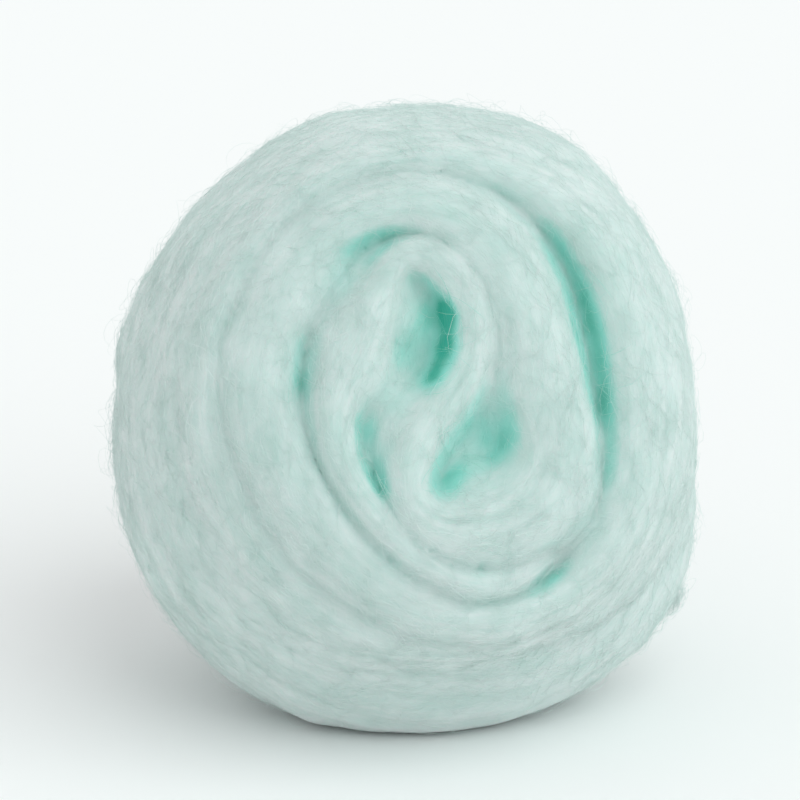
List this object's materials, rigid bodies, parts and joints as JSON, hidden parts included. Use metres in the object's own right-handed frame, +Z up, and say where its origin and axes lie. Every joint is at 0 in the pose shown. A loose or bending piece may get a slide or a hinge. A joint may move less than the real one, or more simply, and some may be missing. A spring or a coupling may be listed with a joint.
{
  "type": "cotton ball",
  "caption": "Soft round cotton ball: a strip of carded cotton wool rolled up on itself, with a spiral crease on both crowned ends and a small flat spot to rest on",
  "frame": {"origin": "middle of the footprint, on the floor that the flat spot rests on", "axes": "+Z up; the roll's axis runs along Y and leans back, so that its end at -Y faces up a little; +X to the right seen from that end"},
  "size_m": [0.0344, 0.0348, 0.0351],
  "materials": {
    "cotton_wool": "matte carded cotton wool, dyed pale mint, with fine loose fibres"
  },
  "bodies": {
    "root": {"cotton_ball": "cotton_wool"}
  },
  "joints": []
}
